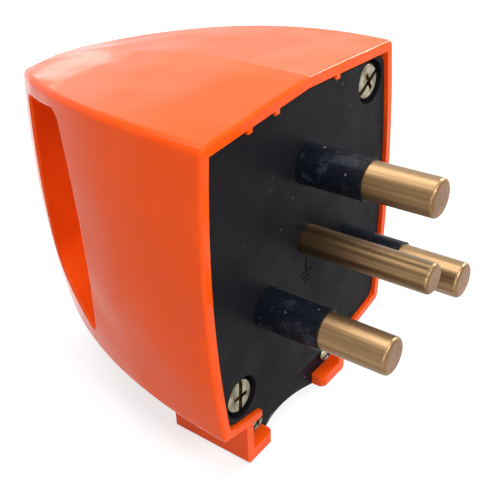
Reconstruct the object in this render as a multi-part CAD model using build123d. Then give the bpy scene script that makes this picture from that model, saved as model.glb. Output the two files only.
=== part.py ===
from build123d import *
import os
from math import atan2, cos, degrees, radians, sin, sqrt

os.makedirs("parts", exist_ok=True)

# Angled industrial plug, millimetres. +X is the way the pins point, +Z is up, +Y is across.
# The origin is on the plate's front face, on the axis of the earth pin.

# Pins
phase_pin_diameter = 6.0
earth_pin_diameter = 5.0
earth_neck_diameter = 4.0
pin_reach = 22.2
pin_circle_radius = 13.5
pin_tip_chamfer = 0.6
pin_neck_diameter = 4.2
pin_collar_diameter = 8.6
pin_collar_thickness = 2.0
barrel_diameter = 7.6
barrel_length = 11.0
wire_bore_diameter = 3.6
wire_bore_depth = 8.0
sleeve_diameter = 6.65
sleeve_reach = 11.1

# Terminal screws, one across each barrel
terminal_screw_diameter = 3.0
terminal_head_diameter = 5.0
terminal_head_height = 2.0
terminal_screw_setback = 1.6
terminal_slot_width = 0.8
terminal_slot_depth = 0.9

# Housing envelope: two barrel-shaped sides, a gabled top and a rounded bottom
half_width = 27.0
widest_at = -3.0
widest_height = 3.0
back_half_width = 8.3
side_bow_radius = 180.0
ridge_height = 27.85
ridge_at = -10.0
ridge_radius = 187.0
ridge_slope = 0.062
keel_depth = 28.75
keel_rise = 0.085
keel_roundness = 100.0
back_reach = 56.7
back_bow_radius = 170.0
side_length = back_reach + widest_at
side_taper = half_width - back_half_width
side_plan_radius = (side_length**2 + side_taper**2) / (2 * side_taper)
heel_radius = 5.0
rim_reach = 0.5
wall = 1.75
rear_wall_at = -26.2
edge_radius = 1.3
rim_edge_radius = 0.5

# Finger hole of the handle, as corners of its side view
bar_thickness = 10.1
bar_foot_thickness = 9.8
bar_top_thickness = 7.5
bridge_front_thickness = 5.15
bridge_back_thickness = 7.95
hole_top_front = (-33.3, ridge_height - bridge_front_thickness)
hole_front_bulge = (-28.3, 3.0)
hole_bottom_front = (-32.0, -19.8)
hole_bottom_back = (bar_foot_thickness - back_reach, -12.0)
hole_back_bulge = (bar_thickness - back_reach, 0.0)
hole_top_back = (bar_top_thickness - back_reach, ridge_height - bridge_back_thickness)
hole_front_corner_radius = 2.6
hole_toe_radius = 1.4
hole_heel_radius = 5.5
hole_back_corner_radius = 2.0
hole_edge_radius = 0.5

# Front plate
plate_thickness = 3.0
plate_clearance = 0.15
plate_corner_radius = 2.6
plate_edge_chamfer = 0.4
socket_ring_wall = 1.2

# Plate screws at two opposite corners, and their inserts
plate_screw_side_gap = 7.85
plate_screw_top_gap = 7.4
plate_screw_bottom_gap = 8.7
plate_screw_turns = {"upper": 28, "lower": 85}
plate_screw_diameter = 3.0
plate_screw_length = 9.0
plate_head_diameter = 6.4
plate_head_height = 1.7
plate_head_sink = 0.3
plate_bore_diameter = 7.5
plate_boss_diameter = 7.6
insert_diameter = 4.6
insert_length = 7.0
slot_width = 0.9
slot_depth = 0.7
cross_arm_width = 0.8
cross_arm_span = 3.3
cross_arm_depth = 0.9

# Seats and nubs that place the plate in the rim
seat_y = 12.0
seat_depth = 6.0
seat_width = 1.6
seat_reach = 1.8
nub_positions = (-14.8, -8.2, 8.2)
nub_width = 1.1
nub_reach = 0.75

# Retainer behind the collars
retainer_diameter = 39.0
retainer_thickness = 2.2
retainer_screw_radius = 15.6
retainer_screw_diameter = 2.2
retainer_screw_length = 5.4
retainer_head_diameter = 4.0
retainer_head_height = 1.5
retainer_boss_diameter = 5.0
barrier_height = 9.0
barrier_wall = 1.2
barrier_ring_diameter = 12.4

# Cord exit at the bottom, between two rails
exit_y = -3.45
exit_half_width = 11.2
exit_length = 13.3
rail_half_span = 15.5
rail_wall = 1.75
rail_bottom = -34.9
foot_width = 7.4
foot_thickness = 2.2
foot_corner_radius = 1.2
rail_edge_radius = 0.8
boss_width = 5.6
saddle_thickness = 2.2
rail_length = exit_length + saddle_thickness
cord_diameter = 9.0

# Clamp bar and its two screws
clamp_front = -1.9
clamp_thickness = 4.6
clamp_clearance = 0.25
clamp_top = -27.4
clamp_belly = -34.8
clamp_flare_height = 4.6
clamp_flare_depth = 1.4
clamp_groove_depth = 1.1
clamp_screw_span = 11.3
clamp_screw_z = -29.0
clamp_screw_diameter = 2.2
clamp_screw_length = 12.0
clamp_head_diameter = 3.5
clamp_head_height = 1.5
clamp_screw_turn = 15

# Working clearances
slip = 0.05
big = 80.0

pins_yz = {
    "top": (0.0, pin_circle_radius),
    "right": (pin_circle_radius * cos(radians(30)), -pin_circle_radius * sin(radians(30))),
    "left": (-pin_circle_radius * cos(radians(30)), -pin_circle_radius * sin(radians(30))),
}
plate_screws_yz = {
    "upper": (half_width - plate_screw_side_gap, ridge_height - plate_screw_top_gap),
    "lower": (plate_screw_side_gap - half_width, plate_screw_bottom_gap - keel_depth),
}
plate_back = -plate_thickness
retainer_front = plate_back - pin_collar_thickness
barrel_back = retainer_front - barrel_length
retainer_back = retainer_front - retainer_thickness


def rod(diameter, x_from, x_to, y=0.0, z=0.0):
    """Cylinder along X between two stations."""
    plane = Plane(origin=(x_from, y, z), x_dir=(0, 1, 0), z_dir=(1, 0, 0))
    return extrude(plane * Circle(diameter / 2), x_to - x_from)


def block(x_from, x_to, y_from, y_to, z_from, z_to):
    """Box between two opposite corners."""
    size = Box(x_to - x_from, y_to - y_from, z_to - z_from)
    return Pos((x_from + x_to) / 2, (y_from + y_to) / 2, (z_from + z_to) / 2) * size


def barrel(radius, bow):
    """Barrel about Z: a disc of one radius whose rim bows in height with another."""
    drop = bow - sqrt(bow**2 - big**2)
    rim = ThreePointArc((radius - drop, 0, big), (radius, 0, 0), (radius - drop, 0, -big))
    rest = Polyline((radius - drop, 0, -big), (0, 0, -big), (0, 0, big), (radius - drop, 0, big))
    return revolve(make_face([*rim.edges(), *rest.edges()]), Axis.Z)


def side_barrel(sign, inset):
    """Barrel whose skin is one side of the housing, curved in plan and in height."""
    skin = barrel(side_plan_radius - inset, side_bow_radius - inset)
    return Pos(widest_at, sign * (half_width - side_plan_radius), widest_height) * skin


def roof_cone(inset):
    """Two cones back to back: a ridge along the middle that falls away to both sides."""
    radius = ridge_radius - inset * sqrt(1 + ridge_slope**2)
    low = radius - ridge_slope * big
    face = make_face(Polyline((0, -big), (low, -big), (radius, 0), (low, big), (0, big), close=True))
    cone = revolve(face, Axis.Y)
    return Pos(ridge_at, 0, ridge_height - ridge_radius) * cone


def keel_cylinder(inset):
    """Large cylinder whose skin is the rounded bottom, rising toward the back."""
    axis = Vector(-1, 0, keel_rise).normalized()
    height = keel_roundness * sqrt(1 + keel_rise**2) - keel_depth - big * keel_rise
    plane = Plane(origin=(big, 0, height), z_dir=axis)
    return extrude(plane * Circle(keel_roundness - inset), 4 * big)


def side_view(inset, x_front, x_back_flat=None):
    """Prism of the side view: front plane, bowed back and rounded heel."""
    if x_back_flat is not None:
        return block(x_back_flat, x_front, -big, big, -big, big)
    reach = back_reach - inset
    sag = back_bow_radius - sqrt(back_bow_radius**2 - big**2 / 4)
    back = ThreePointArc((-reach + sag, big / 2), (-reach, 0), (-reach + sag, -big / 2))
    corners = [(-reach + sag, -big / 2), (x_front, -big / 2), (x_front, big / 2), (-reach + sag, big / 2)]
    rest = Polyline(*corners)
    face = make_face([*back.edges(), *rest.edges()])
    return extrude(Plane.XZ * face, big, both=True)


def envelope(inset, x_front, x_back_flat=None):
    """Space inside the housing's skin, drawn in by an inset all round."""
    solid = side_view(inset, x_front, x_back_flat) & roof_cone(inset) & keel_cylinder(inset)
    return solid & side_barrel(1, inset) & side_barrel(-1, inset)


def edges_between(shape, x_min, x_max, z_min, z_max, y_min=-big):
    """Edges whose middle lies in a window of the side view."""
    found = []
    for edge in shape.edges():
        c = edge @ 0.5
        if x_min < c.X < x_max and z_min < c.Z < z_max and abs(c.Y) > y_min:
            found.append(edge)
    return found


def finger_hole():
    """Through hole of the loop handle, along Y."""
    front = ThreePointArc(hole_top_front, hole_front_bulge, hole_bottom_front)
    bottom = Line(hole_bottom_front, hole_bottom_back)
    back = ThreePointArc(hole_bottom_back, hole_back_bulge, hole_top_back)
    top = Line(hole_top_back, hole_top_front)
    face = make_face([*front.edges(), *bottom.edges(), *back.edges(), *top.edges()])
    corners = {
        hole_top_front: hole_front_corner_radius,
        hole_bottom_front: hole_toe_radius,
        hole_bottom_back: hole_heel_radius,
        hole_top_back: hole_back_corner_radius,
    }
    for corner, radius in corners.items():
        near = face.vertices().sort_by_distance((*corner, 0))[0]
        face = fillet(near, radius)
    return extrude(Plane.XZ * face, big, both=True)


def rail(side):
    """L-shaped rail below the bottom wall, its foot turned inward."""
    outer = exit_y + side * rail_half_span
    inner = outer - side * rail_wall
    toe = outer - side * foot_width
    web = block(-rail_length, rim_reach, min(outer, inner), max(outer, inner), rail_bottom, 0)
    foot_top = rail_bottom + foot_thickness
    foot = block(-rail_length, rim_reach, min(outer, toe), max(outer, toe), rail_bottom, foot_top)
    toe_edges = [e for e in foot.edges().filter_by(Axis.Z) if abs((e @ 0.5).Y - toe) < 0.01]
    shape = web + fillet(toe_edges, foot_corner_radius)
    lower = [e for e in shape.edges().filter_by(Axis.X) if (e @ 0.5).Z < rail_bottom + 0.01]
    return fillet([e for e in lower if abs((e @ 0.5).Y - outer) < 0.01], rail_edge_radius)


def clamp_boss(side):
    """Block between web and cord way that takes one clamp screw."""
    web = exit_y + side * (rail_half_span - rail_wall)
    inner = web - side * boss_width
    x_front = clamp_front - clamp_thickness - clamp_clearance
    return block(-exit_length - saddle_thickness, x_front, min(web, inner), max(web, inner),
                 rail_bottom + foot_thickness, 0)


def cord_saddle():
    """Cross wall behind the cord, hollowed to take it."""
    web = rail_half_span - rail_wall
    x_front = -exit_length
    wall_block = block(x_front - saddle_thickness, x_front, exit_y - web, exit_y + web,
                       rail_bottom + foot_thickness, 0)
    hollow = Pos(x_front + cord_diameter / 3, exit_y, 0) * Cylinder(cord_diameter / 2, 2 * big)
    return wall_block - hollow


def plate_seats():
    """Ribs inside the walls that the plate's back rests on."""
    ribs = []
    x_to = plate_back - slip
    for y in (-seat_y, seat_y):
        ribs.append(block(x_to - seat_depth, x_to, y - seat_width / 2, y + seat_width / 2, 0, big))
    for y in (-big, big):
        ribs.append(block(x_to - seat_depth, x_to, min(0, y), max(0, y), -seat_width / 2, seat_width / 2))
    hollow = envelope(wall + seat_reach, 1.0, rear_wall_at)
    return [rib & envelope(wall / 2, 1.0, rear_wall_at - 1) - hollow for rib in ribs]


def housing():
    """Moulded housing: hollow body, loop handle, rails, saddle and bosses in one piece."""
    body = envelope(0, rim_reach)
    heel = edges_between(body, -big, 2 * heel_radius - back_reach, -big, -2 * heel_radius)
    body = fillet([e for e in heel if abs((e @ 0.5).Y) < back_half_width / 2], heel_radius)
    body = fillet(edges_between(body, -big, rim_reach - 0.5, -big, big, back_half_width / 2), edge_radius)
    rim = [e for e in body.edges() if abs((e @ 0.5).X - rim_reach) < 0.01]
    body = fillet(rim, rim_edge_radius)
    body = body - finger_hole()
    x_back, x_front = hole_top_back[0] - 1, hole_front_bulge[0] + 1
    z_low, z_high = hole_bottom_front[1] - 1, hole_top_front[1] + 1
    around_hole = edges_between(body, x_back, x_front, z_low, z_high, back_half_width / 2)
    body = fillet(around_hole, hole_edge_radius)
    body = body - exit_way()
    for part in (rail(1), rail(-1), clamp_boss(1), clamp_boss(-1), cord_saddle()):
        body = body + part
    body = body - envelope(wall, rim_reach + 1, rear_wall_at)
    keep = envelope(wall / 2, rim_reach, rear_wall_at - 1)
    for y, z in plate_screws_yz.values():
        body = body + (rod(plate_boss_diameter, rear_wall_at - 1, plate_back - slip, y, z) & keep)
    for seat in plate_seats():
        body = body + seat
    for nub in plate_nubs():
        body = body + nub
    for y, z in plate_screws_yz.values():
        body = body - rod(insert_diameter + 2 * slip, plate_back - insert_length - 4 * slip, 0, y, z)
        body = body - rod(plate_screw_diameter + 4 * slip, plate_back - insert_length - 5, 0, y, z)
    for side in (1, -1):
        y = exit_y + side * clamp_screw_span
        body = body - rod(clamp_screw_diameter + 2 * slip, clamp_front - clamp_screw_length - 0.5,
                          clamp_front, y, clamp_screw_z)
        body = body - rod(clamp_head_diameter + 6 * slip, clamp_front - slip, rim_reach + 1, y, clamp_screw_z)
    return body


def exit_way():
    """Opening in the bottom wall for the cord, with a notch across it for the clamp bar."""
    top = 3 * wall - keel_depth
    way = block(-exit_length, big, exit_y - exit_half_width, exit_y + exit_half_width, -big, top)
    span = rail_half_span - rail_wall
    x_back = clamp_front - clamp_thickness - clamp_clearance
    return way + block(x_back, clamp_front + clamp_clearance, exit_y - span, exit_y + span,
                       -big, clamp_top + clamp_clearance)


def plate_nubs():
    """Small nubs on the top wall that lap over the plate's upper edge."""
    nubs = []
    for y in nub_positions:
        z_wall = ridge_height - wall - ridge_slope * abs(y)
        z_from = z_wall - nub_reach - 2 * plate_clearance
        nubs.append(block(slip, rim_reach - slip, y - nub_width / 2, y + nub_width / 2,
                          z_from, z_wall + wall / 3))
    return nubs


def front_plate():
    """Insulating plate that closes the front, with sockets for the pin collars behind."""
    plate = envelope(wall + plate_clearance, 0, plate_back)
    corners = [e for e in plate.edges() if abs((e % 0.5).X) > 0.9 and abs((e @ 0.5).Y) > half_width / 2]
    plate = fillet(corners, plate_corner_radius)
    front = [e for e in plate.edges() if abs((e @ 0.5).X) < 0.01]
    plate = chamfer(front, plate_edge_chamfer)
    ring = pin_collar_diameter + 2 * (slip + socket_ring_wall)
    for y, z in [(0, 0), *pins_yz.values()]:
        plate = plate + rod(ring, retainer_front, plate_back + 0.5, y, z)
    for y, z in retainer_screws_yz():
        plate = plate + rod(retainer_boss_diameter, retainer_front, plate_back + 0.5, y, z)
    for y, z in [(0, 0), *pins_yz.values()]:
        plate = plate - rod(pin_collar_diameter + 2 * slip, retainer_front, plate_back, y, z)
    for y, z in pins_yz.values():
        plate = plate - rod(sleeve_diameter + 2 * slip, plate_back, 0, y, z)
    plate = plate - rod(earth_pin_diameter + 2 * slip, plate_back, 0)
    for y, z in plate_screws_yz.values():
        plate = plate - rod(plate_bore_diameter, -plate_head_height - plate_head_sink, 0, y, z)
        plate = plate - rod(plate_screw_diameter + 4 * slip, plate_back, 0, y, z)
    for y, z in retainer_screws_yz():
        plate = plate - rod(retainer_screw_diameter + 2 * slip, plate_back - 2, -0.9, y, z)
    return plate


def retainer_screws_yz():
    """Places of the retainer's screws, midway between the phase pins."""
    r = retainer_screw_radius
    return [(r * cos(radians(a)), r * sin(radians(a))) for a in (30, 150, 270)]


def pin_retainer():
    """Insulating disc behind the collars, with barriers between the wire barrels."""
    disc = rod(retainer_diameter, retainer_back, retainer_front)
    barrier_back = retainer_back - barrier_height
    ring = rod(barrier_ring_diameter, barrier_back, retainer_back + 0.5)
    ring = ring - rod(barrier_ring_diameter - 2 * barrier_wall, barrier_back, retainer_back + 0.5)
    channel = terminal_head_diameter / 2 + 0.6
    ring = ring - block(barrier_back, retainer_back, -channel, channel, -barrier_ring_diameter, 0)
    reach = retainer_screw_radius - retainer_head_diameter / 2 - 0.4
    fin = block(barrier_back, retainer_back + 0.5, barrier_ring_diameter / 2 - barrier_wall / 2, reach,
                -barrier_wall / 2, barrier_wall / 2)
    disc = disc + ring + Rot(30, 0, 0) * fin + Rot(150, 0, 0) * fin
    for side in (1, -1):
        y = side * (channel + barrier_wall / 2)
        disc = disc + block(barrier_back, retainer_back + 0.5, y - barrier_wall / 2, y + barrier_wall / 2,
                            -reach, -barrier_ring_diameter / 2 + 2 * barrier_wall)
    disc = disc - rod(barrel_diameter + 6 * slip, retainer_back, retainer_front)
    for y, z in pins_yz.values():
        disc = disc - rod(barrel_diameter + 6 * slip, retainer_back, retainer_front, y, z)
    for y, z in retainer_screws_yz():
        disc = disc - rod(retainer_screw_diameter + 4 * slip, retainer_back, retainer_front, y, z)
    return disc


def turned_pin(diameter, neck, neck_end, y, z, screw_angle):
    """Turned brass pin: contact shaft, neck, collar and wire barrel."""
    shaft = rod(diameter, neck_end, pin_reach, y, z)
    tip = [e for e in shaft.edges().filter_by(GeomType.CIRCLE) if (e @ 0).X > pin_reach - 0.01]
    pin = fillet(tip, pin_tip_chamfer)
    pin = pin + rod(neck, plate_back - 0.5, neck_end, y, z)
    pin = pin + rod(pin_collar_diameter, retainer_front, plate_back, y, z)
    pin = pin + rod(barrel_diameter, barrel_back, retainer_front, y, z)
    pin = pin - rod(wire_bore_diameter, barrel_back, barrel_back + wire_bore_depth, y, z)
    hole = Pos(screw_x(), y, z) * Rot(screw_angle - 90, 0, 0) * Pos(0, 0, barrel_diameter / 2) * \
        Cylinder(terminal_screw_diameter / 2 + slip, barrel_diameter)
    return pin - hole


def screw_x():
    """Station of the terminal screws along the barrels."""
    return barrel_back + wire_bore_depth / 2


def terminal_screw(y, z, angle):
    """Slotted screw across a wire barrel, pointing at its axis."""
    tip = wire_bore_diameter / 2
    head_from = barrel_diameter / 2 + terminal_screw_setback
    shank = Pos(0, 0, (tip + head_from) / 2) * Cylinder(terminal_screw_diameter / 2, head_from - tip)
    head = Pos(0, 0, head_from + terminal_head_height / 2) * \
        Cylinder(terminal_head_diameter / 2, terminal_head_height)
    top = head_from + terminal_head_height
    slot = Pos(0, 0, top) * Box(big, terminal_slot_width, 2 * terminal_slot_depth)
    screw = shank + (head - slot)
    return Pos(screw_x(), y, z) * Rot(angle - 90, 0, 0) * screw


def pin_sleeve(y, z):
    """Insulating tube over the neck of a phase pin."""
    tube = rod(sleeve_diameter, plate_back, sleeve_reach, y, z)
    return tube - rod(pin_neck_diameter + 2 * slip, plate_back, sleeve_reach, y, z)


def pan_screw(x_seat, y, z, diameter, length, head_diameter, head_height, turn):
    """Pan head screw along X, slotted and cross recessed, its head in front of the seat."""
    head = rod(head_diameter, x_seat, x_seat + head_height)
    crown = [e for e in head.edges().filter_by(GeomType.CIRCLE) if (e @ 0).X > x_seat + 0.01]
    head = fillet(crown, 0.5 * head_height)
    share = head_diameter / plate_head_diameter
    front = x_seat + head_height
    half_slot, half_arm = slot_width * share / 2, cross_arm_width * share / 2
    half_cross = cross_arm_span * share / 2
    slot = block(front - slot_depth * share, front + 1, -big, big, -half_slot, half_slot)
    cross = block(front - cross_arm_depth * share, front + 1, -half_arm, half_arm, -half_cross, half_cross)
    long_arm = block(front - cross_arm_depth * share, front + 1, -half_cross, half_cross, -half_arm, half_arm)
    head = head - slot - cross - long_arm
    return Pos(0, y, z) * Rot(turn, 0, 0) * (head + rod(diameter, x_seat - length, x_seat))


def plate_insert(y, z):
    """Threaded brass insert in a housing boss."""
    x_front = plate_back - 2 * slip
    insert = rod(insert_diameter, x_front - insert_length, x_front, y, z)
    return insert - rod(plate_screw_diameter + 2 * slip, x_front - insert_length, x_front, y, z)


def clamp_flare(half_belly):
    """Tilted cylinder that cuts an arched flare into the foot of the belly's front."""
    tilt = atan2(clamp_flare_depth, clamp_flare_height)
    sink = clamp_flare_height * sin(tilt)
    radius = (half_belly**2 + sink**2) / (2 * sink)
    apex = clamp_belly + clamp_flare_height
    place = (clamp_front + radius * cos(tilt), exit_y, apex - radius * sin(tilt))
    return Pos(*place) * Rot(0, degrees(tilt), 0) * Cylinder(radius, 2 * big)


def cord_clamp():
    """Clamp bar across the cord exit: two ends above the rail feet and a belly between them."""
    half_span = rail_half_span - rail_wall - clamp_clearance
    half_belly = rail_half_span - foot_width - clamp_clearance
    foot_top = rail_bottom + foot_thickness
    x_back = clamp_front - clamp_thickness
    bar = block(x_back, clamp_front, exit_y - half_span, exit_y + half_span,
                foot_top + clamp_clearance, clamp_top)
    belly = block(x_back, clamp_front, exit_y - half_belly, exit_y + half_belly, clamp_belly, clamp_top)
    clamp = bar + (belly - clamp_flare(half_belly))
    groove_at = x_back - cord_diameter / 2 + clamp_groove_depth
    clamp = clamp - Pos(groove_at, exit_y, 0) * Cylinder(cord_diameter / 2, 2 * big)
    for side in (1, -1):
        y = exit_y + side * clamp_screw_span
        clamp = clamp - rod(clamp_screw_diameter + 4 * slip, x_back, clamp_front, y, clamp_screw_z)
    return clamp


def main():
    parts = {
        "housing": housing(),
        "front_plate": front_plate(),
        "pin_retainer": pin_retainer(),
        "cord_clamp": cord_clamp(),
        "earth_pin": turned_pin(earth_pin_diameter, earth_neck_diameter, 0, 0, 0, 270),
        "terminal_screw_earth": terminal_screw(0, 0, 270),
    }
    angles = {"top": 90, "right": -30, "left": 210}
    for name, (y, z) in pins_yz.items():
        parts["phase_pin_" + name] = turned_pin(phase_pin_diameter, pin_neck_diameter, sleeve_reach,
                                                y, z, angles[name])
        parts["pin_sleeve_" + name] = pin_sleeve(y, z)
        parts["terminal_screw_" + name] = terminal_screw(y, z, angles[name])
    plate_seat = -plate_head_height - plate_head_sink
    for name, (y, z) in plate_screws_yz.items():
        parts["plate_screw_" + name] = pan_screw(plate_seat, y, z, plate_screw_diameter, plate_screw_length,
                                                 plate_head_diameter, plate_head_height,
                                                 plate_screw_turns[name])
        parts["plate_insert_" + name] = plate_insert(y, z)
    for number, (y, z) in enumerate(retainer_screws_yz(), 1):
        screw = pan_screw(0, 0, 0, retainer_screw_diameter, retainer_screw_length,
                          retainer_head_diameter, retainer_head_height, 0)
        parts[f"retainer_screw_{number}"] = Pos(retainer_back, y, z) * Rot(0, 180, 0) * screw
    for name, side in (("left", -1), ("right", 1)):
        parts["clamp_screw_" + name] = pan_screw(clamp_front, exit_y + side * clamp_screw_span, clamp_screw_z,
                                                 clamp_screw_diameter, clamp_screw_length,
                                                 clamp_head_diameter, clamp_head_height, clamp_screw_turn)
    for name, shape in parts.items():
        shape.label = name
        export_step(shape, f"parts/{name}.step")
        print(name, len(shape.solids()), shape.is_valid, round(shape.volume, 1))


main()
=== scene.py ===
import math

import bpy
from mathutils import Matrix, Vector


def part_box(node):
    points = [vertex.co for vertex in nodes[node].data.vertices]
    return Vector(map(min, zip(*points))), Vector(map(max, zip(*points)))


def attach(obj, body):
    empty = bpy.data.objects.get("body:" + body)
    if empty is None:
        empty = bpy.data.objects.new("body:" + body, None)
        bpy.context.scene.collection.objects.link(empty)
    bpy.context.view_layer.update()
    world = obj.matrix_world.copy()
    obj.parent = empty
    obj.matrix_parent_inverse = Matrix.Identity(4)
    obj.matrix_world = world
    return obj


# Looks of the angled industrial plug, in metres, in the same frame as its solids:
# +X is the way the pins point, +Z is up, and the origin is on the plate's face.

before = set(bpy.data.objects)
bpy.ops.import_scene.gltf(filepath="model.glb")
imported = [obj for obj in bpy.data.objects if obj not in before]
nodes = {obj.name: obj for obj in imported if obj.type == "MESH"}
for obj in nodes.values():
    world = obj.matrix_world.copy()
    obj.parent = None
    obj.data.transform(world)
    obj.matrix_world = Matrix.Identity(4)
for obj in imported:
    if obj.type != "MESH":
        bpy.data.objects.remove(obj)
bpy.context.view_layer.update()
mm = 0.001

# Camera: the place in metres, the angles in degrees, the lens and the sensor in millimetres
camera_place = (0.06333, -0.09814, 0.06969)
camera_azimuth = 41.41
camera_elevation = 30.68
camera_roll = -4.50
camera_lens = 59.65
camera_sensor = 36
camera_shift = (0.1, 0.0)
camera_nearest = 5 * mm

# Studio: the floor lies under the rails. It sends light back as grey paper, and shows as its
# glow with the shadows of its veil. Each softbox is aimed at the origin.
floor_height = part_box("housing")[0].z
floor_size = 4.0
floor_paper = 0.45
floor_glow = 0.72
floor_veil = 0.3
world_level = 0.25
world_seen = 1.0
lamps = {
    "key_softbox": {"place": (-0.20, 0.05, 0.85), "size": (0.8, 0.8), "watts": 9.0},
    "side_softbox": {"place": (0.45, -0.75, 0.22), "size": (0.4, 0.4), "watts": 2.7},
    "front_softbox": {"place": (0.65, -0.10, 0.55), "size": (0.35, 0.35), "watts": 5.0},
    "handle_softbox": {"place": (0.16, 0.70, 0.36), "size": (0.3, 0.3), "watts": 6.0},
    "rear_softbox": {"place": (-0.60, 0.62, 0.40), "size": (0.7, 0.4), "watts": 0.65},
    "rear_strip": {"place": (-0.80, 0.58, 0.12), "size": (0.12, 0.12), "watts": 0.08},
}

# Colours of the orange housing and of the black and grey mouldings
orange_deep = (0.76, 0.073, 0.004)
orange_light = (0.80, 0.083, 0.006)
orange_depths = (1.0, 0.12, 0.1)
plate_black = (0.004, 0.004, 0.005)
plate_grain = (0.012, 0.011, 0.014)
plate_dust = (0.10, 0.09, 0.09)
sleeve_black = (0.004, 0.005, 0.008)
sleeve_line = (0.006, 0.008, 0.012)
# Pale bluish patches on the sleeves: partly scuff marks, partly a painted sheen
sleeve_scuff_and_sheen = (0.035, 0.042, 0.055)
sleeve_nick = (0.16, 0.16, 0.17)
retainer_dark = (0.20, 0.19, 0.17)
retainer_light = (0.27, 0.26, 0.24)

# Colours of the metals: a furrow is the dark bottom of a brushed line, a tip a pin's flat end
brass_worn = (0.255, 0.148, 0.068)
brass_tarnished = (0.19, 0.106, 0.048)
brass_bright = (0.31, 0.213, 0.112)
brass_tip_worn = (0.26, 0.130, 0.052)
brass_tip_tarnished = (0.18, 0.086, 0.035)
earth_pin_furrow = (0.095, 0.06, 0.03)
phase_pin_furrow = (0.20, 0.12, 0.058)
steel_stained = (0.15, 0.125, 0.075)
steel_bright = (0.40, 0.36, 0.27)
# Painted shade: the colour of a screw head's recess, standing in for the shade that falls in it
painted_recess_shade = (0.26, 0.16, 0.08)

# Where the painted shade in the recess of a screw head begins and is fully dark, below the head's
# front
recess_begins = 0.5 * mm
recess_dark = 0.85 * mm

# Earth mark on the plate: a stem and three bars that get shorter, as (y, z) ends in millimetres.
# Its draft is how far the top's corners are drawn in, as a share of the stroke's width.
mark_height = 0.12
mark_stroke = 0.28
mark_draft = 0.18
mark_root = 0.02
mark_strokes = [
    ((-0.2, -3.7), (-0.2, -6.5)),
    ((-1.8, -6.5), (1.5, -6.5)),
    ((-1.2, -7.3), (0.9, -7.3)),
    ((-0.6, -8.1), (0.3, -8.1)),
]


class Shader:
    """One node material, with short calls for the nodes that the finishes share."""

    def __init__(self, name):
        self.material = bpy.data.materials.new(name)
        self.material.use_nodes = True
        self.tree = self.material.node_tree
        self.bsdf = self.tree.nodes["Principled BSDF"]
        self.place = self.tree.nodes.new("ShaderNodeTexCoord").outputs["Object"]

    def set(self, **values):
        """Sets plain values on the shader's own sockets."""
        for name, value in values.items():
            self.bsdf.inputs[name.replace("_", " ")].default_value = value

    def link(self, source, target):
        """Joins one node's output to another's input."""
        self.tree.links.new(source, target)

    def drive(self, name, source):
        """Lets a pattern set one of the shader's sockets."""
        self.link(source, self.bsdf.inputs[name])

    def scaled(self, scale):
        """The place on the object, scaled by its own amount along each axis."""
        node = self.tree.nodes.new("ShaderNodeMapping")
        node.inputs["Scale"].default_value = scale
        self.link(self.place, node.inputs["Vector"])
        return node.outputs["Vector"]

    def noise(self, scale, detail=3.0, roughness=0.5, vector=None):
        """A cloudy pattern from 0 to 1."""
        node = self.tree.nodes.new("ShaderNodeTexNoise")
        node.inputs["Scale"].default_value = scale
        node.inputs["Detail"].default_value = detail
        node.inputs["Roughness"].default_value = roughness
        self.link(vector or self.place, node.inputs["Vector"])
        return node.outputs["Fac"]

    def lines(self, scale, detail, roughness):
        """A pattern drawn out into lines, by its scale along each axis."""
        return self.noise(1.0, detail, roughness, self.scaled(scale))

    def specks(self, scale):
        """Sparse small dots, 1 where there is one."""
        return self.remap(self.noise(scale, detail=1), 0.76, 0.80)

    def remap(self, value, low, high, to_low=0.0, to_high=1.0):
        """The value's range from low to high, spread from to_low to to_high."""
        node = self.tree.nodes.new("ShaderNodeMapRange")
        for name, number in (
            ("From Min", low),
            ("From Max", high),
            ("To Min", to_low),
            ("To Max", to_high),
        ):
            node.inputs[name].default_value = number
        self.link(value, node.inputs["Value"])
        return node.outputs["Result"]

    def blend(self, factor, first, second):
        """The first colour where the factor is 0, and the second where it is 1."""
        node = self.tree.nodes.new("ShaderNodeMix")
        node.data_type = "RGBA"
        self.link(factor, node.inputs["Factor"])
        for socket, colour in ((node.inputs["A"], first), (node.inputs["B"], second)):
            if isinstance(colour, bpy.types.NodeSocket):
                self.link(colour, socket)
            else:
                socket.default_value = (*colour, 1.0)
        return node.outputs["Result"]

    def faded(self, value, factor):
        """A value that goes to a plain half where the factor is 1."""
        node = self.tree.nodes.new("ShaderNodeMix")
        self.link(factor, node.inputs["Factor"])
        self.link(value, node.inputs["A"])
        node.inputs["B"].default_value = 0.5
        return node.outputs["Result"]

    def part(self, vector, letter):
        """One part of a vector: X, Y or Z."""
        node = self.tree.nodes.new("ShaderNodeSeparateXYZ")
        self.link(vector, node.inputs["Vector"])
        return node.outputs[letter]

    def facing(self, letter):
        """How far the surface faces one way."""
        return self.part(self.tree.nodes.new("ShaderNodeNewGeometry").outputs["Normal"], letter)

    def bump(self, height, depth, strength):
        """Adds a bump of a pattern's height to the bumps before it."""
        node = self.tree.nodes.new("ShaderNodeBump")
        node.inputs["Distance"].default_value = depth
        node.inputs["Strength"].default_value = strength
        self.link(height, node.inputs["Height"])
        previous = self.bsdf.inputs["Normal"].links
        if previous:
            self.link(previous[0].from_socket, node.inputs["Normal"])
        self.drive("Normal", node.outputs["Normal"])


def orange_plastic():
    """Semi-gloss moulded plastic that is slightly uneven in colour and in its skin."""
    s = Shader("orange_plastic")
    patches = s.remap(s.noise(45, detail=3), 0.3, 0.7)
    s.drive("Base Color", s.blend(patches, orange_deep, orange_light))
    s.drive("Roughness", s.remap(s.noise(150, detail=3), 0.3, 0.7, 0.11, 0.17))
    s.set(IOR=1.48, Specular_IOR_Level=0.09)
    s.set(Subsurface_Weight=0.25, Subsurface_Scale=3 * mm, Subsurface_Radius=orange_depths)
    s.bump(s.noise(62, detail=1), depth=2.4 * mm, strength=0.4)
    s.bump(s.noise(120, detail=2), depth=0.03 * mm, strength=0.35)
    return s.material


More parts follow.
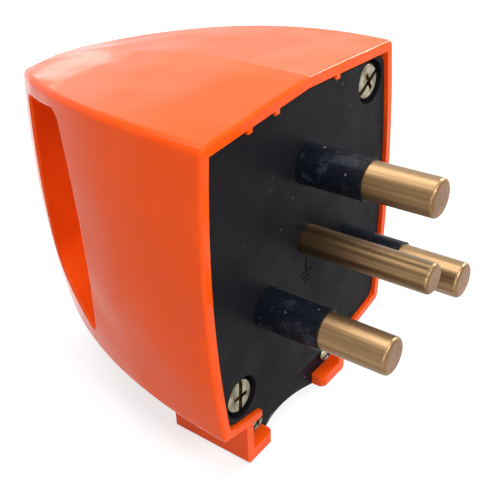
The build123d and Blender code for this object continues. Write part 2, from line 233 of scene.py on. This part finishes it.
def black_plate_plastic():
    """Matt black plastic with the fine grain of a spark-eroded mould and a little dust."""
    s = Shader("black_plate_plastic")
    grain = s.noise(2200, detail=4, roughness=0.7)
    colour = s.blend(grain, plate_black, plate_grain)
    s.drive("Base Color", s.blend(s.specks(900), colour, plate_dust))
    s.drive("Roughness", s.remap(s.noise(180, detail=3), 0.3, 0.7, 0.36, 0.56))
    s.set(IOR=1.45, Specular_IOR_Level=0.04)
    s.bump(s.noise(1800, detail=4, roughness=0.6), depth=0.03 * mm, strength=0.6)
    return s.material


def black_sleeve_plastic():
    """Smooth black plastic with faint drag lines along the pin, pale patches that are partly scuff
    marks and partly a painted sheen, and small nicks.
    """
    s = Shader("black_sleeve_plastic")
    drag = s.lines((200, 1800, 1800), detail=3, roughness=0.6)
    # Patches that are partly scuff marks and partly a painted sheen
    scuffs_and_sheen = s.remap(s.noise(420, detail=5, roughness=0.7), 0.52, 0.75)
    colour = s.blend(drag, sleeve_black, sleeve_line)
    colour = s.blend(scuffs_and_sheen, colour, sleeve_scuff_and_sheen)
    s.drive("Base Color", s.blend(s.specks(1500), colour, sleeve_nick))
    s.drive("Roughness", s.remap(drag, 0.3, 0.7, 0.24, 0.34))
    s.set(IOR=1.5, Specular_IOR_Level=0.06)
    s.bump(s.noise(700, detail=2), depth=0.01 * mm, strength=0.5)
    return s.material


def pin_brass(name, furrow):
    """Brushed brass: broad and fine lines along the pins, plain scratched ends."""
    s = Shader(name)
    end = s.remap(s.facing("X"), 0.7, 0.9)
    fine = s.lines((90, 5200, 5200), detail=4, roughness=0.65)
    broad = s.remap(s.lines((22, 1500, 1500), detail=3, roughness=0.6), 0.38, 0.62)
    tarnish = s.remap(s.noise(260, detail=4), 0.35, 0.7)
    worn = s.blend(tarnish, brass_worn, brass_tarnished)
    brushed = s.blend(broad, furrow, s.blend(fine, worn, brass_bright))
    tip = s.blend(tarnish, brass_tip_worn, brass_tip_tarnished)
    s.drive("Base Color", s.blend(end, brushed, tip))
    s.drive("Roughness", s.remap(broad, 0.0, 1.0, 0.44, 0.34))
    s.set(Metallic=1.0)
    s.bump(s.faded(fine, end), depth=0.01 * mm, strength=0.6)
    s.bump(s.faded(broad, end), depth=0.02 * mm, strength=0.4)
    return s.material


def screw_steel(name, head_front=None):
    """Yellow-passivated steel, with painted shade in the recess of a head whose front is given."""
    s = Shader(name)
    stains = s.remap(s.noise(700, detail=3), 0.35, 0.65)
    colour = s.blend(stains, steel_stained, steel_bright)
    if head_front is not None:
        # Painted shade, darker the deeper the point lies below the head's front
        way_out = s.part(s.place, "X")
        depth = s.remap(way_out, head_front - recess_dark, head_front - recess_begins, 1.0, 0.0)
        colour = s.blend(depth, colour, painted_recess_shade)
    s.drive("Base Color", colour)
    s.drive("Roughness", s.remap(stains, 0.0, 1.0, 0.36, 0.2))
    s.set(Metallic=1.0)
    s.bump(s.lines((900, 2600, 900), detail=3, roughness=0.6), depth=0.01 * mm, strength=0.5)
    return s.material


def inner_plastic():
    """Plain grey insulating plastic of the inner retainer."""
    s = Shader("inner_plastic")
    s.drive("Base Color", s.blend(s.noise(900, detail=3), retainer_dark, retainer_light))
    s.drive("Roughness", s.remap(s.noise(600, detail=3), 0.3, 0.7, 0.4, 0.55))
    s.bump(s.noise(1400, detail=3), depth=0.02 * mm, strength=0.5)
    return s.material


def named(*starts):
    """The nodes whose names begin in one of these ways."""
    return [name for name in nodes if name.startswith(starts)]


def clad(names, material):
    """Gives nodes one material."""
    for name in names:
        node = nodes[name]
        node.data.materials.clear()
        node.data.materials.append(material)


def dress_nodes():
    """Every solid gets its finish."""
    clad(["housing"], orange_plastic())
    clad(["front_plate", "cord_clamp"], black_plate_plastic())
    clad(named("pin_sleeve"), black_sleeve_plastic())
    clad(["earth_pin"], pin_brass("earth_brass", earth_pin_furrow))
    clad(named("phase_pin", "plate_insert"), pin_brass("phase_brass", phase_pin_furrow))
    for kind in ("plate_screw", "clamp_screw"):
        screws = named(kind)
        clad(screws, screw_steel(kind + "_steel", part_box(screws[0])[1].x))
    clad(named("terminal_screw", "retainer_screw"), screw_steel("inner_steel"))
    clad(["pin_retainer"], inner_plastic())


def add_object(name, points, faces):
    """A new mesh object in the scene."""
    mesh = bpy.data.meshes.new(name)
    mesh.from_pydata(points, [], faces)
    thing = bpy.data.objects.new(name, mesh)
    bpy.context.scene.collection.objects.link(thing)
    return thing


def raised_stroke(start, end):
    """Eight corners and six faces of one raised stroke, a little smaller at its top."""
    a = Vector((0, *start)) * mm
    b = Vector((0, *end)) * mm
    along = (b - a).normalized() * mark_stroke * mm / 2
    across = along.cross(Vector((1, 0, 0)))
    corners = [a - along - across, a - along + across, b + along + across, b + along - across]
    middle = (a + b) / 2
    root = Vector((-mark_root * mm, 0, 0))
    top = Vector((mark_height * mm, 0, 0))
    inset = mark_stroke * mark_draft * mm
    foot = [corner + root for corner in corners]
    crown = [corner - (corner - middle).normalized() * inset + top for corner in corners]
    faces = [(3, 2, 1, 0), (4, 5, 6, 7), (0, 1, 5, 4), (1, 2, 6, 5), (2, 3, 7, 6), (3, 0, 4, 7)]
    return foot + crown, faces


def earth_mark():
    """Raised earth sign below the middle pin, moulded with the plate."""
    points, faces = [], []
    for start, end in mark_strokes:
        new_points, new_faces = raised_stroke(start, end)
        faces += [tuple(i + len(points) for i in face) for face in new_faces]
        points += new_points
    mark = add_object("earth_mark", points, faces)
    mark.data.materials.append(nodes["front_plate"].data.materials[0])
    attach(mark, "root")


def seen_directly(tree):
    """1 for camera, glossy and transmission rays, otherwise 0."""
    path = tree.nodes.new("ShaderNodeLightPath")
    total = path.outputs["Is Camera Ray"]
    for name in ("Is Glossy Ray", "Is Transmission Ray"):
        both = tree.nodes.new("ShaderNodeMath")
        both.operation = "MAXIMUM"
        tree.links.new(total, both.inputs[0])
        tree.links.new(path.outputs[name], both.inputs[1])
        total = both.outputs["Value"]
    return total


def grey_diffuse(tree, level):
    """A plain matt grey."""
    node = tree.nodes.new("ShaderNodeBsdfDiffuse")
    node.inputs["Color"].default_value = (level, level, level, 1)
    return node.outputs[0]


def floor_material():
    """Grey paper for the light it sends back, near white with shadows where it is seen."""
    material = bpy.data.materials.new("floor_paper")
    material.use_nodes = True
    tree = material.node_tree
    tree.nodes.clear()
    output = tree.nodes.new("ShaderNodeOutputMaterial")
    glow = tree.nodes.new("ShaderNodeEmission")
    glow.inputs["Strength"].default_value = floor_glow
    seen = tree.nodes.new("ShaderNodeAddShader")
    tree.links.new(glow.outputs[0], seen.inputs[0])
    tree.links.new(grey_diffuse(tree, floor_veil), seen.inputs[1])
    mix = tree.nodes.new("ShaderNodeMixShader")
    tree.links.new(seen_directly(tree), mix.inputs[0])
    tree.links.new(grey_diffuse(tree, floor_paper), mix.inputs[1])
    tree.links.new(seen.outputs[0], mix.inputs[2])
    tree.links.new(mix.outputs[0], output.inputs["Surface"])
    return material


def make_floor():
    """Pale floor under the plug."""
    half = floor_size / 2
    corners = [(x * half, y * half, floor_height) for x, y in ((-1, -1), (1, -1), (1, 1), (-1, 1))]
    floor = add_object("floor", corners, [(0, 1, 2, 3)])
    floor.data.materials.append(floor_material())


def make_world():
    """Even grey daylight that is white where it is seen directly."""
    world = bpy.data.worlds.new("studio")
    bpy.context.scene.world = world
    world.use_nodes = True
    tree = world.node_tree
    background = tree.nodes["Background"]
    background.inputs["Color"].default_value = (1, 1, 1, 1)
    level = tree.nodes.new("ShaderNodeMapRange")
    level.inputs["To Min"].default_value = world_level
    level.inputs["To Max"].default_value = world_seen
    tree.links.new(seen_directly(tree), level.inputs["Value"])
    tree.links.new(level.outputs["Result"], background.inputs["Strength"])


def make_lamps():
    """Softboxes aimed at the plug."""
    for name, lamp in lamps.items():
        data = bpy.data.lights.new(name, "AREA")
        data.shape = "RECTANGLE"
        data.size, data.size_y = lamp["size"]
        data.energy = lamp["watts"]
        light = bpy.data.objects.new(name, data)
        light.location = lamp["place"]
        light.rotation_mode = "QUATERNION"
        light.rotation_quaternion = (-Vector(lamp["place"])).to_track_quat("-Z", "Y")
        bpy.context.scene.collection.objects.link(light)


def make_camera():
    """Camera at the photograph's place and angle."""
    azimuth = math.radians(camera_azimuth)
    elevation = math.radians(camera_elevation)
    roll = math.radians(camera_roll)
    level = math.cos(elevation)
    back = Vector((math.sin(azimuth) * level, -math.cos(azimuth) * level, math.sin(elevation)))
    flat_right = Vector((math.cos(azimuth), math.sin(azimuth), 0))
    right = flat_right * math.cos(roll) + back.cross(flat_right) * math.sin(roll)
    up = back.cross(right)
    turn = Matrix((right, up, back)).transposed().to_4x4()
    data = bpy.data.cameras.new("camera")
    data.sensor_width = camera_sensor
    data.lens = camera_lens
    data.shift_x, data.shift_y = camera_shift
    data.clip_start = camera_nearest
    camera = bpy.data.objects.new("camera", data)
    camera.matrix_world = Matrix.Translation(camera_place) @ turn
    bpy.context.scene.collection.objects.link(camera)
    bpy.context.scene.camera = camera


dress_nodes()
earth_mark()
make_floor()
make_world()
make_lamps()
make_camera()
bpy.context.scene.view_settings.view_transform = "Standard"
